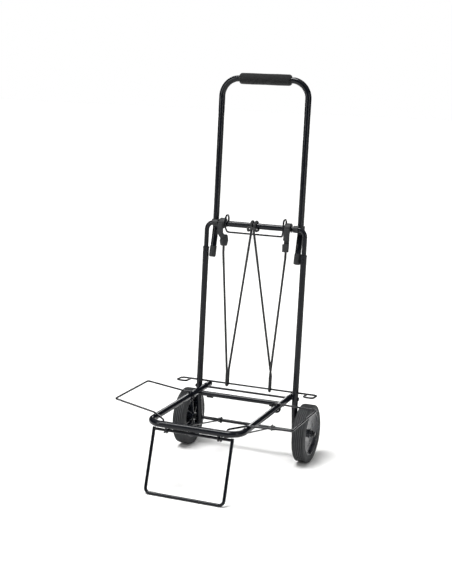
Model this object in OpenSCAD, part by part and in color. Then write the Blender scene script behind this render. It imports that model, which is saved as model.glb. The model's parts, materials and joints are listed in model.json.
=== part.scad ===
// Folding two-wheeled shopping trolley: a tube frame with a push-down handle, a fold-up load
// base with two flip-over wire wings, a swing-down front foot and an elastic load cord.
// +Z is up, +Y points to the back of the trolley and the floor is at Z = 0.

/* [Frame] */
// Outside diameter of the frame, handle and base tubes
tube_d = 16; // [14:0.5:20]
// Wall of the tubes
tube_wall = 1.5; // [1:0.1:1.5]
// Distance between the centres of the two lower tubes
frame_w = 269; // [240:1:340]
// Backward lean of the frame, in degrees
lean = 3; // [1:0.5:5]
// Length along the frame from the axle height to the crossbar
crossbar_s = 526; // [480:1:620]
// Length of yoke leg that shows above each lower tube
yoke_show = 64; // [55:1:75]
// Diameter of the yoke rod
yoke_d = 12; // [10:0.5:12]
// Centre-line radius of the yoke's bends
yoke_bend_r = 19; // [17:0.5:24]
// How far the lower tubes stand in front of the axle
tube_offset = 12; // [8:1:16]

/* [Handle] */
// Length along the frame from the axle height to the top of the handle
handle_s = 898; // [860:1:1000]
// Radius of the handle's top bends
handle_bend_r = 46; // [36:1:60]
// Gap between the frame plane and the handle plane, centre to centre
handle_n = 16; // [16:0.5:18]
// Side gap between a handle leg and the lower tube beside it
handle_side_gap = 2; // [1.8:0.1:4]
// Length of the foam grip
grip_len = 139; // [100:1:150]
// Diameter of the foam grip
grip_d = 29; // [24:0.5:34]
// Length of the cranked lower end of each handle leg
crank_len = 73; // [60:1:80]
// How far the cranked ends come forward
crank_in = 14; // [10:0.5:14]

/* [Wheels] */
// Diameter of the wheels
wheel_d = 150; // [130:1:170]
// Width of the wheels
wheel_w = 34; // [28:1:40]
// Diameter of the hub that the tyre sits on
hub_d = 112; // [96:1:116]
// Diameter of the axle
axle_d = 9; // [8:0.5:10]
// Number of grooves in the tread
tread_grooves = 5; // [3:1:7]
// Number of ribs in the open back of the hub
hub_ribs = 8; // [5:1:12]

/* [Base] */
// Length along the frame from the axle height to the base pivot
pivot_s = 89; // [84:1:110]
// Length of the base in front of its pivot
base_reach = 353; // [300:1:420]
// Length of the arm tails behind the pivot
base_tail = 31; // [20:1:34]
// Radius of the base's front corners
base_bend_r = 35; // [28:1:45]
// Diameter of the base's rear bar
rear_bar_d = 13; // [10:0.5:14]
// Distance from the pivot to the rear bar
rear_bar_in = 39; // [36:1:48]

/* [Foot] */
// Diameter of the foot rod
foot_d = 8; // [7:0.5:9]
// Diameter of the rod that the foot turns on
foot_pin_d = 7; // [6:0.5:7.5]
// Forward lean of the foot, in degrees
foot_lean = 17; // [10:0.5:20]
// Half the distance between the foot legs
foot_half_w = 100.5; // [92:0.5:104]

/* [Wires] */
// Diameter of the wing, rail and bail wires
wire_d = 5; // [4:0.5:5]
// Diameter of the stay rods
stay_d = 4; // [3:0.5:4]
// Half the distance between the two stay rods
stay_x = 72; // [60:1:76]
// Reach of each wing from its arm to its outer wire
wing_reach = 112; // [90:1:112]
// Length of each wing's outer wire, front to back
wing_len = 184; // [140:1:190]
// How much higher the outer wire of the left wing stands than its hinge
wing_rise_left = 18; // [0:1:24]
// How much higher the outer wire of the right wing stands than its hinge
wing_rise_right = 3; // [0:1:24]
// Diameter of the elastic cord
cord_d = 6; // [5:0.5:6]

/* [Fits] */
// Radial clearance of running fits
run_gap = 0.1; // [0.05:0.01:0.1]
// How much thinner a lower tube is past its kink
kink_step = 0.1; // [0.05:0.05:0.2]
// How much thinner the cranked ends of the handle are
crank_step = 0.3; // [0.1:0.1:0.5]
// Clearance between moving parts that only lie against each other
rest_gap = 0.3; // [0.3:0.05:0.5]

/* [Hidden] */
$fn = 48;
paint = "#17181b";
rubber = "#3c3e3e";
plastic = "#26282b";
foam = "#202124";
elastic = "#1b1c1f";

axle_z = wheel_d / 2;
tube_bore = tube_d - 2 * tube_wall;
tube_x = frame_w / 2;
pivot_y = pivot_s * sin(lean) - tube_offset;
pivot_z = axle_z + pivot_s * cos(lean);
arm_gap = 0.5;
arm_x = tube_x - tube_d - arm_gap;
pivot_d = 6;
leg_x = tube_x - tube_d - handle_side_gap;
wire_lift = tube_d / 2 + rest_gap + wire_d / 2;

axle_n = tube_offset * cos(lean);
axle_s = tube_offset * sin(lean);
lower_kink = 11;
lower_kink_s = axle_s + axle_n / tan(lower_kink);
lower_foot_len = (lower_kink_s - axle_s) / cos(lower_kink) + 15;
lower_top_s = crossbar_s - yoke_show;
yoke_foot_s = lower_top_s - 32;
rivet_s = lower_top_s - 14;
rivet_d = 5;
sleeve_len = 190;

spacer_d = 15;
wheel_side_gap = 0.3;
wheel_in_x = tube_x + tube_d / 2 + 6.5;
wheel_x = wheel_in_x + wheel_w / 2;
hub_bush_d = 15;
cap_d = 17;
cap_len = 7;
axle_end_x = wheel_in_x + wheel_w + wheel_side_gap + 4.5;

front_y = pivot_y - base_reach;
tail_y = pivot_y + base_tail;
rear_bar_y = pivot_y - rear_bar_in;
rear_bar_z = pivot_z - 7;
tab_w = 18;
tab_x = stay_x + stay_d / 2 + tab_w / 2 + 4;
foot_y = front_y + 3;
foot_hang = 6.4;
foot_z = pivot_z - tube_d / 2 - foot_hang;
foot_len = (foot_z - foot_d / 2) / cos(foot_lean);
foot_stub = floor(10 * sqrt(pow(foot_hang - rest_gap, 2) - pow(foot_d / 2, 2))) / 10;
staple_d = 4;
staple_x = stay_x - 6;

grip_end_r = 6;
leg_cap_d = 17.6;
leg_cap_len = 28;
crank_top_s = crossbar_s - 14;
crank_tip_s = crank_top_s - crank_len;

rail_s = pivot_s + 14;
rail_n = tube_d / 2 + wire_d / 2;
rail_half = 190;
rail_loop = [27, 36];

wing_back_y = pivot_y - 100;
wing_corner_back = 17;
wing_tail = 7;
wing_stop_x = staple_x + staple_d / 2 + rest_gap + 4 + wing_tail;
wing_front_y = wing_back_y - wing_corner_back - wing_len;

cord_gap = 0.2;
hook_x = 89.5;
hook_w = 15;
hook_t = 7.5;
hook_len = 70;
hook_bar_gap = 0.3;
hook_in_left = hook_x - 9;
cord_n = -(tube_d / 2 + hook_bar_gap + hook_t / 2);

front_most = foot_y - foot_len * sin(foot_lean) - foot_d / 2;
back_most = wheel_d / 2;
home_y = -(front_most + back_most) / 2;

// ---------- helpers ----------

function unit(v) = v / norm(v);

// Places a child drawn along +Z from the origin so that it runs from point a towards point b.
module aim(a, b) {
  v = b - a;
  translate(a) rotate([0, acos(v.z / norm(v)), atan2(v.y, v.x)]) children();
}

module straight(a, b, d) {
  aim(a, b) cylinder(h = norm(b - a), d = d);
}

// The set-back of a bend's ends from its corner, for the points before and after corner i.
function turn(p, i) = acos(max(-1, min(1, unit(p[i] - p[i - 1]) * unit(p[i + 1] - p[i]))));
function setback(p, i, r) = i == 0 || i == len(p) - 1 ? 0 : r[i] * tan(turn(p, i) / 2);

// One bend of a rod, as a part of a torus.
module elbow(before, corner, after, d, r) {
  u = unit(corner - before);
  v = unit(after - corner);
  w = unit(cross(u, v));
  swing = acos(u * v);
  out = -unit(v - u);
  centre = corner - out * (r / cos(swing / 2));
  start = unit(corner - u * (r * tan(swing / 2)) - centre);
  side = cross(w, start);
  multmatrix([
    [start.x, side.x, w.x, centre.x],
    [start.y, side.y, w.y, centre.y],
    [start.z, side.z, w.z, centre.z],
    [0, 0, 0, 1]
  ])
    rotate_extrude(angle = swing) translate([r, 0]) circle(d = d);
}

// A rod or the bore of a tube through points p, with the bend radius r[i] at each inner point.
module bent(p, d, r) {
  for (i = [0 : len(p) - 2]) {
    u = unit(p[i + 1] - p[i]);
    straight(p[i] + u * setback(p, i, r), p[i + 1] - u * setback(p, i + 1, r), d);
  }
  for (i = [1 : len(p) - 2]) elbow(p[i - 1], p[i], p[i + 1], d, r[i]);
}

// The same, with one radius for every bend.
module bent_even(p, d, r) {
  bent(p, d, [for (i = p) r]);
}

// How far two halves of a kinked rod run past the kink to close its mitre.
function mitre(angle, d) = d / 2 * tan(angle / 2);

// A path through points p whose corners are rounded to the radii r, as arcs in short steps.
function arc(p, i, r) = let (
  u = unit(p[i] - p[i - 1]),
  v = unit(p[i + 1] - p[i]),
  swing = turn(p, i),
  back = setback(p, i, r),
  steps = max(2, ceil(swing / 14)),
  centre = p[i] + unit(v - u) * (r[i] / cos(swing / 2)),
  start = p[i] - u * back - centre
) [for (k = [0 : steps]) let (a = swing * k / steps) centre + start * cos(a) + u * (r[i] * sin(a))];

function rounded(p, r) = concat(
  [p[0]], [for (i = [1 : len(p) - 2]) each arc(p, i, r)], [p[len(p) - 1]]
);

// Directions along a path, and a side direction at each point that never twists.
function heading(q) = [
  for (i = [0 : len(q) - 1]) unit(q[min(i + 1, len(q) - 1)] - q[max(i - 1, 0)])
];
function sides_of(t, first) = [
  for (i = 0, s = first; i < len(t); i = i + 1, s = i < len(t) ? unit(s - t[i] * (s * t[i])) : s) s
];

// A wire or cord that bends in more than one plane.
module swept(p, d, r, sides = 12) {
  q = rounded(p, r);
  t = heading(q);
  first = unit(cross(t[0], abs(t[0].x) < 0.8 ? [1, 0, 0] : [0, 0, 1]));
  s = sides_of(t, first);
  rings = len(q);
  points = [
    for (i = [0 : rings - 1], k = [0 : sides - 1]) let (a = 360 * k / sides)
      q[i] + (s[i] * cos(a) + cross(t[i], s[i]) * sin(a)) * d / 2
  ];
  faces = concat(
    [[for (k = [0 : sides - 1]) k]],
    [
      for (i = [0 : rings - 2], k = [0 : sides - 1], half = [0, 1]) let (
        a = i * sides + k,
        b = i * sides + (k + 1) % sides
      ) half == 0 ? [a, a + sides, b] : [b, a + sides, b + sides]
    ],
    [[for (k = [sides - 1 : -1 : 0]) (rings - 1) * sides + k]]
  );
  polyhedron(points = points, faces = faces, convexity = 10);
}

// Everything is drawn with the axle over Y = 0 and then moved so that the trolley stands
// centred on the origin.
module at_home() {
  translate([0, home_y, 0]) children();
}

// The frame's own directions: X across, Y square to the frame plane, Z along the tubes.
module on_frame() {
  at_home() translate([0, -tube_offset, axle_z]) rotate([-lean, 0, 0]) children();
}

// A ring of round wire about the X axis or the Y axis.
module ring_x(r, d) {
  rotate([0, 90, 0]) rotate_extrude() translate([r, 0]) circle(d = d);
}

module ring_y(r, d) {
  rotate([90, 0, 0]) rotate_extrude() translate([r, 0]) circle(d = d);
}

module tube_x_bar(x0, x1, outer, bore) {
  translate([x0, 0, 0]) rotate([0, 90, 0]) difference() {
    cylinder(h = x1 - x0, d = outer);
    translate([0, 0, -1]) cylinder(h = x1 - x0 + 2, d = bore);
  }
}

// ---------- frame ----------

// The outside or the bore of a lower tube, straight above the kink and bent back below it.
module lower_form(side, d, past) {
  over = mitre(lower_kink, d);
  on_lower_tube(side) {
    translate([0, 0, -over]) cylinder(h = lower_top_s - lower_kink_s + over + past, d = d);
    rotate([lower_kink, 0, 0]) translate([0, 0, -lower_foot_len - past])
      cylinder(h = lower_foot_len + past + over, d = d - kink_step);
  }
}

module on_lower_tube(side) {
  translate([side * tube_x, 0, lower_kink_s]) children();
}

module lower_tube(side) {
  color(paint) on_frame() difference() {
    union() {
      lower_form(side, tube_d, 0);
      translate([side * tube_x, 0, lower_top_s - 4]) cylinder(h = 4, d = tube_d + 1.2);
    }
    lower_form(side, tube_bore, 1);
    translate([side * tube_x, 0, pivot_s]) rotate([0, 90, 0])
      cylinder(h = 2 * tube_d, d = pivot_d, center = true);
    translate([side * tube_x, 0, rivet_s]) rotate([90, 0, 0])
      cylinder(h = 2 * tube_d, d = rivet_d, center = true);
    translate([side * tube_x, axle_n, axle_s]) rotate([0, 90, 0])
      cylinder(h = 2 * tube_d, d = axle_d, center = true);
  }
}

module lower_tube_left() { lower_tube(-1); }
module lower_tube_right() { lower_tube(1); }

module yoke() {
  p = [
    [-tube_x, 0, yoke_foot_s], [-tube_x, 0, crossbar_s],
    [tube_x, 0, crossbar_s], [tube_x, 0, yoke_foot_s]
  ];
  color(paint) on_frame() difference() {
    bent_even(p, yoke_d, yoke_bend_r);
    for (x = [-tube_x, tube_x]) translate([x, 0, rivet_s]) rotate([90, 0, 0])
      cylinder(h = 2 * tube_d, d = rivet_d, center = true);
  }
}

module crossbar_sleeve() {
  color(paint) on_frame() translate([0, 0, crossbar_s])
    tube_x_bar(-sleeve_len / 2, sleeve_len / 2, tube_d, yoke_d);
}

// A rivet with a shank and two low heads that are coped to the tube.
module yoke_rivets() {
  head = 2;
  color(paint) on_frame() for (x = [-tube_x, tube_x]) translate([x, 0, rivet_s]) {
    rotate([90, 0, 0]) cylinder(h = tube_d + 0.2, d = rivet_d, center = true);
    difference() {
      rotate([90, 0, 0]) cylinder(h = tube_d + 2 * head, d = 9, center = true);
      cylinder(h = 3 * rivet_d, d = tube_d, center = true);
    }
  }
}

// A moulded clip on the yoke, with a bore behind it that the handle leg slides in.
module leg_guide(side) {
  guide_h = 16;
  inner_x = leg_x - 13;
  color(plastic) on_frame() translate([0, 0, crossbar_s]) difference() {
    union() {
      translate([side * leg_x, handle_n, 0]) cylinder(h = guide_h, d = tube_d + 6, center = true);
      translate([side * (inner_x + 6.5), 0, 0]) rotate([0, 90, 0])
        cylinder(h = 13, d = yoke_d + 6, center = true);
      translate([side * (inner_x + 6.5), handle_n / 2, 0])
        cube([13, handle_n, guide_h - 4], center = true);
    }
    translate([side * leg_x, handle_n, 0])
      cylinder(h = 2 * guide_h, d = tube_d + 2 * run_gap, center = true);
    translate([side * leg_x, 0, 0]) rotate([0, 90, 0])
      cylinder(h = 60, d = yoke_d, center = true);
  }
}

module leg_guide_left() { leg_guide(-1); }
module leg_guide_right() { leg_guide(1); }

module axle() {
  color(paint) at_home() translate([0, 0, axle_z]) rotate([0, 90, 0])
    cylinder(h = 2 * axle_end_x, d = axle_d, center = true);
}

module axle_spacers() {
  inner_x = tube_x + tube_d / 2 + 0.1;
  color(plastic) at_home() translate([0, 0, axle_z]) for (m = [0, 1]) mirror([m, 0, 0])
    tube_x_bar(inner_x, wheel_in_x - wheel_side_gap, spacer_d, axle_d);
}

// Push-on caps that close the axle ends and hold the wheels.
module axle_caps() {
  face_x = wheel_in_x + wheel_w + wheel_side_gap;
  color(paint) at_home() translate([0, 0, axle_z]) for (m = [0, 1]) mirror([m, 0, 0])
    difference() {
      translate([face_x, 0, 0]) rotate([0, 90, 0]) union() {
        cylinder(h = 2, d = cap_d);
        cylinder(h = cap_len - 2, d = cap_d - 4);
        translate([0, 0, cap_len - 2]) cylinder(h = 2, d1 = cap_d - 4, d2 = cap_d - 8);
      }
      rotate([0, 90, 0]) cylinder(h = axle_end_x, d = axle_d);
    }
}

// Rings pressed on the axle just outside the stay eyes.
module stay_collars() {
  near_x = stay_x + stay_d / 2 + rest_gap;
  color(paint) at_home() translate([0, 0, axle_z]) for (m = [0, 1]) mirror([m, 0, 0])
    tube_x_bar(near_x, near_x + 5, axle_d + 4, axle_d);
}

module tube_end_plugs() {
  color(plastic) on_frame() for (side = [-1, 1]) on_lower_tube(side)
    rotate([lower_kink, 0, 0]) translate([0, 0, -lower_foot_len]) {
      cylinder(h = 6, d = tube_bore - kink_step);
      translate([0, 0, -2]) cylinder(h = 2, d = tube_d - kink_step);
    }
}

module base_pivot_rod() {
  head_x = tube_x + tube_d / 2;
  color(paint) on_frame() translate([0, 0, pivot_s]) {
    rotate([0, 90, 0]) cylinder(h = 2 * head_x, d = pivot_d, center = true);
    for (m = [0, 1]) mirror([m, 0, 0]) translate([head_x, 0, 0]) rotate([0, 90, 0])
      cylinder(h = 2.5, d1 = pivot_d + 5, d2 = pivot_d + 1);
  }
}

// The wire behind the tubes that the cord hooks catch, with a flat loop at each end.
module rear_rail() {
  x0 = rail_half - rail_loop[0];
  n0 = rail_n - rail_loop[1];
  stub = rail_n - wire_d - 2;
  p = [
    [-x0, stub, rail_s], [-x0, n0, rail_s], [-rail_half, n0, rail_s],
    [-rail_half, rail_n, rail_s], [rail_half, rail_n, rail_s],
    [rail_half, n0, rail_s], [x0, n0, rail_s], [x0, stub, rail_s]
  ];
  color(paint) on_frame() bent_even(p, wire_d, 9);
}

// ---------- elastic cord ----------

// The cord's route through the frame's own directions: from the left hook round the rear rail,
// up to a cow hitch on the crossbar, round the rail again and up to the right hook.
cord_turn_x = 59.5;
cord_wrap = wire_d / 2 + cord_d / 2 + cord_gap;
hitch_wrap = tube_d / 2 + cord_d / 2 + cord_gap;
hitch_front = hitch_wrap + cord_d + 0.5;
hitch_mid = -3.2;
stand_x = 3.4;
over_x = 5.5;
under_x = 11.3;
hook_end_s = crossbar_s + tube_d / 2 - hook_len;

function cord_turn(side) = [
  for (q = [[1, -1, 6], [1, -1, -1], [0, 1, -1], [0, 1, 6]])
    [side * (cord_turn_x + q.x), rail_n + q.y * cord_wrap, rail_s + q.z * cord_wrap]
];

function hitch_half(side) = let (m = hitch_mid) [
  [m + side * stand_x, -hitch_wrap, crossbar_s - 14],
  [m + side * over_x, -hitch_wrap, crossbar_s + hitch_wrap],
  [m + side * over_x, hitch_wrap, crossbar_s + hitch_wrap],
  [m + side * (over_x + 3), hitch_wrap, crossbar_s - hitch_wrap],
  [m + side * under_x, -hitch_front, crossbar_s - hitch_wrap - 1],
  [m + side * (under_x - 1), -hitch_front, crossbar_s - 5 - side * 3]
];

function backwards(p) = [for (i = [len(p) - 1 : -1 : 0]) p[i]];

module elastic_cord() {
  function hook_run(x) = [[x, cord_n, hook_end_s + 6], [x, cord_n, hook_end_s - 12]];
  turn_r = [3, 5, 5, 3];
  half_r = [10, 10, 10, 8, 5, 3.5];
  p = concat(
    hook_run(-hook_in_left), cord_turn(-1), hitch_half(-1),
    backwards(hitch_half(1)), backwards(cord_turn(1)), backwards(hook_run(hook_x))
  );
  r = concat([0, 20], turn_r, half_r, backwards(half_r), turn_r, [20, 0]);
  color(elastic) on_frame() swept(p, cord_d, r, 10);
}

// A moulded J-shaped hook over the crossbar that ends in a block round the cord.
module cord_hook(side) {
  bar_r = tube_d / 2 + hook_bar_gap;
  arch_t = hook_t - 1.5;
  foot_s = -(hook_len - tube_d / 2);
  block_len = 17;
  slot_len = 12;
  slot_s = foot_s + block_len + 8;
  color(plastic) on_frame() translate([side * hook_x, 0, crossbar_s]) difference() {
    union() {
      rotate([0, 90, 0]) difference() {
        cylinder(h = hook_w, r = bar_r + arch_t, center = true);
        cylinder(h = 2 * hook_w, r = bar_r, center = true);
        translate([bar_r + hook_t, 0, 0])
          cube([2 * (bar_r + hook_t), 4 * hook_t + 30, 2 * hook_w], center = true);
      }
      translate([-hook_w / 2, bar_r, -9]) cube([hook_w, arch_t, 9]);
      translate([-hook_w / 2, -bar_r - hook_t, foot_s]) cube([hook_w, hook_t, -foot_s]);
      translate([-hook_w / 2 - 1, -bar_r - hook_t - 2, foot_s])
        cube([hook_w + 2, hook_t + 4, block_len]);
    }
    translate([-hook_w / 2 + 3, -bar_r - 2 * hook_t, slot_s])
      cube([hook_w - 6, 3 * hook_t, slot_len]);
    translate([side < 0 ? hook_x - hook_in_left : 0, cord_n, foot_s - 1])
      cylinder(h = 8, d = cord_d);
  }
}

module cord_hook_left() { cord_hook(-1); }
module cord_hook_right() { cord_hook(1); }

// ---------- handle ----------

function handle_half(side) = let (x = side * leg_x) [
  [x, handle_n - crank_in, crank_tip_s], [x, handle_n, crank_top_s], [x, handle_n, handle_s]
];

// The outside or the bore of the handle tube. The bore runs past the ends of the legs.
module handle_form(d, past) {
  left = handle_half(-1);
  right = handle_half(1);
  over = mitre(atan(crank_in / crank_len), d);
  down = [0, 0, -over];
  bent_even([left[1] + down, left[2], right[2], right[1] + down], d, handle_bend_r);
  for (q = [left, right]) {
    up = unit(q[1] - q[0]);
    straight(q[0] - up * past, q[1] + up * over, d - crank_step);
  }
}

module handle_tube() {
  color(paint) on_frame() difference() {
    handle_form(tube_d, 0);
    handle_form(tube_bore, 1);
  }
}

module foam_grip() {
  half = grip_len / 2;
  color(foam) on_frame() translate([0, handle_n, handle_s]) rotate([0, 90, 0]) rotate_extrude()
    difference() {
      translate([0, -half]) hull() {
        translate([0, grip_end_r]) square([grip_d / 2, grip_len - 2 * grip_end_r]);
        square([grip_d / 2 - grip_end_r, grip_len]);
        for (y = [grip_end_r, grip_len - grip_end_r])
          translate([grip_d / 2 - grip_end_r, y]) circle(r = grip_end_r);
      }
      translate([-1, -half - 1]) square([tube_d / 2 + 1, grip_len + 2]);
    }
}

module handle_cap(side) {
  q = handle_half(side);
  up = unit(q[1] - q[0]);
  foot = q[0] - up * 3;
  color(plastic) on_frame() difference() {
    union() {
      straight(foot + up * 2, q[0] + up * (leg_cap_len - 3), leg_cap_d);
      aim(foot, q[1]) cylinder(h = 2, d1 = leg_cap_d - 4, d2 = leg_cap_d);
    }
    straight(q[0], q[1], tube_d - crank_step);
  }
}

module handle_cap_left() { handle_cap(-1); }
module handle_cap_right() { handle_cap(1); }

// ---------- wheels ----------

// Wheels are drawn about +X with X = 0 at the inner face, and mirrored for the left side.
module at_wheel(side) {
  at_home() translate([0, 0, axle_z]) mirror([side < 0 ? 1 : 0, 0, 0])
    translate([wheel_in_x, 0, 0]) rotate([0, 90, 0]) children();
}

module tyre(side) {
  shoulder = 5;
  tread = (wheel_w - 2 * shoulder) / tread_grooves;
  groove = [1.6, 1.6];
  color(rubber) at_wheel(side) rotate_extrude($fn = 96) difference() {
    hull() {
      translate([hub_d / 2, 0]) square([2, wheel_w]);
      for (y = [shoulder, wheel_w - shoulder])
        translate([wheel_d / 2 - shoulder, y]) circle(r = shoulder);
    }
    translate([hub_d / 2 - 5, -1]) square([5, wheel_w + 2]);
    for (i = [0 : tread_grooves])
      translate([wheel_d / 2 - groove[0], shoulder + i * tread - groove[1] / 2])
        square([groove[0] + 1, groove[1]]);
  }
}

module hub(side) {
  rim_t = 3.5;
  web_t = 4;
  boss_d = 24;
  color(plastic) at_wheel(side) {
    difference() {
      rotate_extrude($fn = 96) {
        // rim
        translate([hub_d / 2 - rim_t, 1.5]) square([rim_t, wheel_w - 3]);
        // dished outer web
        polygon([
          [boss_d / 2 - 2, wheel_w - 9 - web_t], [hub_d / 2 - rim_t - 12, wheel_w - 11 - web_t],
          [hub_d / 2 - rim_t, wheel_w - 4 - web_t], [hub_d / 2 - rim_t, wheel_w - 4],
          [hub_d / 2 - rim_t - 12, wheel_w - 11], [boss_d / 2 - 2, wheel_w - 9]
        ]);
        // centre boss
        square([boss_d / 2, wheel_w - 5]);
        square([cap_d / 2 - 1, wheel_w]);
      }
      translate([0, 0, -1]) cylinder(h = wheel_w + 2, d = hub_bush_d - 4);
    }
    for (i = [0 : hub_ribs - 1]) rotate([0, 0, i * 360 / hub_ribs + 11])
      translate([boss_d / 2 - 1, -1, 5]) cube([hub_d / 2 - boss_d / 2 - rim_t + 2, 2, wheel_w - 18]);
  }
}

module bush(side) {
  color("#8a8c90") at_wheel(side) difference() {
    cylinder(h = wheel_w, d = hub_bush_d - 4);
    translate([0, 0, -1]) cylinder(h = wheel_w + 2, d = axle_d + 2 * run_gap);
  }
}

module tyre_left() { tyre(-1); }
module tyre_right() { tyre(1); }
module hub_left() { hub(-1); }
module hub_right() { hub(1); }
module bush_left() { bush(-1); }
module bush_right() { bush(1); }

// ---------- base ----------

module base_tube() {
  p = [
    [-arm_x, tail_y, pivot_z], [-arm_x, front_y, pivot_z],
    [arm_x, front_y, pivot_z], [arm_x, tail_y, pivot_z]
  ];
  past = [p[0] + [0, 1, 0], p[1], p[2], p[3] + [0, 1, 0]];
  color(paint) at_home() difference() {
    bent_even(p, tube_d, base_bend_r);
    bent_even(past, tube_bore, base_bend_r);
    translate([0, pivot_y, pivot_z]) rotate([0, 90, 0])
      cylinder(h = 2 * frame_w, d = pivot_d + 2 * run_gap, center = true);
  }
}

module base_rear_bar() {
  color(paint) at_home() difference() {
    union() {
      translate([0, rear_bar_y, rear_bar_z]) rotate([0, 90, 0])
        cylinder(h = 2 * arm_x, d = rear_bar_d, center = true);
      // short stiffening tabs welded under the bar
      for (x = [-tab_x, tab_x]) translate([x - tab_w / 2, rear_bar_y - 2, rear_bar_z - 10])
        cube([tab_w, 4, 6]);
    }
    for (x = [-arm_x, arm_x]) translate([x, 0, pivot_z]) rotate([90, 0, 0])
      cylinder(h = 4 * frame_w, d = tube_d, center = true);
  }
}

module base_plugs() {
  color(plastic) at_home() for (x = [-arm_x, arm_x]) translate([x, tail_y, pivot_z])
    rotate([-90, 0, 0]) {
      translate([0, 0, -8]) cylinder(h = 8, d = tube_bore);
      cylinder(h = 2, d1 = tube_d, d2 = tube_d - 2);
    }
}

// Bent wires under the front bar that the foot turns in.
module foot_staples() {
  r = foot_pin_d / 2 + rest_gap + staple_d / 2;
  color(paint) at_home() difference() {
    for (x = [-staple_x, staple_x]) translate([x, foot_y, foot_z]) {
      rotate([0, 90, 0]) rotate([0, 0, -90]) rotate_extrude(angle = 180)
        translate([r, 0]) circle(d = staple_d);
      for (y = [-r, r]) translate([0, y, 0]) cylinder(h = tube_d / 2 + 4, d = staple_d);
    }
    translate([0, front_y, pivot_z]) rotate([0, 90, 0])
      cylinder(h = 2 * arm_x, d = tube_d, center = true);
  }
}

// ---------- foot ----------

module on_foot() {
  at_home() translate([0, foot_y, foot_z]) rotate([-foot_lean, 0, 0]) children();
}

module foot_rod() {
  w = foot_half_w;
  color(paint) on_foot()
    bent_even([[-w, 0, foot_stub], [-w, 0, -foot_len], [w, 0, -foot_len], [w, 0, foot_stub]],
      foot_d, 12);
}

module foot_pin_rod() {
  color(paint) on_foot() difference() {
    rotate([0, 90, 0]) cylinder(h = 2 * foot_half_w, d = foot_pin_d, center = true);
    for (x = [-foot_half_w, foot_half_w]) translate([x, 0, 0])
      cylinder(h = 4 * foot_d, d = foot_d, center = true);
  }
}

// ---------- stays ----------

// A rod with an eye on the axle and an open cradle behind the foot's pin rod.
module stay(side) {
  from = [0, 0, axle_z];
  to = [0, foot_y, foot_z];
  eye_r = axle_d / 2 + run_gap + stay_d / 2;
  cradle_r = foot_pin_d / 2 + rest_gap + stay_d / 2;
  ahead = unit(to - from);
  color(paint) at_home() translate([side * stay_x, 0, 0]) {
    translate(from) ring_x(eye_r, stay_d);
    straight(from + ahead * eye_r, to - ahead * cradle_r, stay_d);
    translate(to) rotate([-40, 0, 0]) rotate([0, 90, 0])
      rotate_extrude(angle = 180) translate([cradle_r, 0]) circle(d = stay_d);
  }
}

module stay_left() { stay(-1); }
module stay_right() { stay(1); }

// ---------- wings ----------

// A wire that starts as an eye round its arm, runs out, forward and back over the arm, and
// ends in a tail that stops under the back of the front bar.
module wing(side, rise) {
  eye = wire_lift;
  x_out = arm_x + wing_reach;
  y_stop = front_y + eye * cos(30);
  z_stop = pivot_z - eye * sin(30);
  top = pivot_z + eye;
  p = [
    [arm_x + eye, wing_back_y, pivot_z], [arm_x + eye, wing_back_y, pivot_z - eye],
    [arm_x - eye, wing_back_y, pivot_z - eye], [arm_x - eye, wing_back_y, top],
    [arm_x + 16, wing_back_y, top],
    [x_out, wing_back_y - wing_corner_back, top + rise], [x_out, wing_front_y, top + rise],
    [arm_x + 2, wing_front_y - 8, top + 1], [wing_stop_x + 4, front_y + 18, top - 5],
    [wing_stop_x, y_stop, z_stop], [wing_stop_x - wing_tail, y_stop, z_stop]
  ];
  r = [0, eye - 0.2, eye - 0.2, eye - 0.2, 20, 7, 7, 12, 5, 4, 0];
  color(paint) at_home() mirror([side < 0 ? 1 : 0, 0, 0]) swept(p, wire_d, r);
}

module wing_left() { wing(-1, wing_rise_left); }
module wing_right() { wing(1, wing_rise_right); }

// ---------- bail ----------

// A wire hung over the crossbar that a bag's straps are looped on.
module bag_bail() {
  grab = tube_d / 2 + 0.5 + wire_d / 2;
  x = hook_x - hook_w / 2 - 0.5 - wire_d / 2;
  drop = 22;
  p = [
    [-x, grab, -6], [-x, grab, drop], [-x, -grab, drop], [-x, -grab, -9], [-x + 1, 1, -drop],
    [x - 6, 1, -drop], [x, -grab, -9], [x, -grab, drop], [x, grab, drop], [x, grab, -6]
  ];
  r = [0, 9, 9, 6, 5, 5, 6, 9, 9, 0];
  color(paint) on_frame() translate([0, 0, crossbar_s]) swept(p, wire_d, r);
}

lower_tube_left();
lower_tube_right();
yoke();
crossbar_sleeve();
yoke_rivets();
leg_guide_left();
leg_guide_right();
axle();
axle_spacers();
axle_caps();
stay_collars();
tube_end_plugs();
base_pivot_rod();
rear_rail();
elastic_cord();
cord_hook_left();
cord_hook_right();
handle_tube();
foam_grip();
handle_cap_left();
handle_cap_right();
tyre_left();
hub_left();
bush_left();
tyre_right();
hub_right();
bush_right();
base_tube();
base_rear_bar();
base_plugs();
foot_staples();
foot_rod();
foot_pin_rod();
stay_left();
stay_right();
wing_left();
wing_right();
bag_bail();
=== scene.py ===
"""Folding shopping trolley: detailed pieces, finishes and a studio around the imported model."""

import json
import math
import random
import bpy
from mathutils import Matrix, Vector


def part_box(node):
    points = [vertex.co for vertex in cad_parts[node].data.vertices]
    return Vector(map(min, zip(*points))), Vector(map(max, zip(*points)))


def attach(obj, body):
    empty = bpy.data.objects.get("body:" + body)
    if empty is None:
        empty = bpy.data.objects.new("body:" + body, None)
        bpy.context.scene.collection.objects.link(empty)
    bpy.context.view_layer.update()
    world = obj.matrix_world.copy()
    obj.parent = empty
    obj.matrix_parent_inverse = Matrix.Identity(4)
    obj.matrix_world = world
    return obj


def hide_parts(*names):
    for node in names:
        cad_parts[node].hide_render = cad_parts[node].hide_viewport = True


bl_info = {
    "name": "Folding shopping trolley",
    "version": (1, 0, 0),
    "blender": (4, 5, 0),
    "location": "View3D > Sidebar > Trolley",
    "description": "Builds the grip, wheels, hooks, cord and wires of a folding shopping trolley",
    "category": "Object",
}

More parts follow.
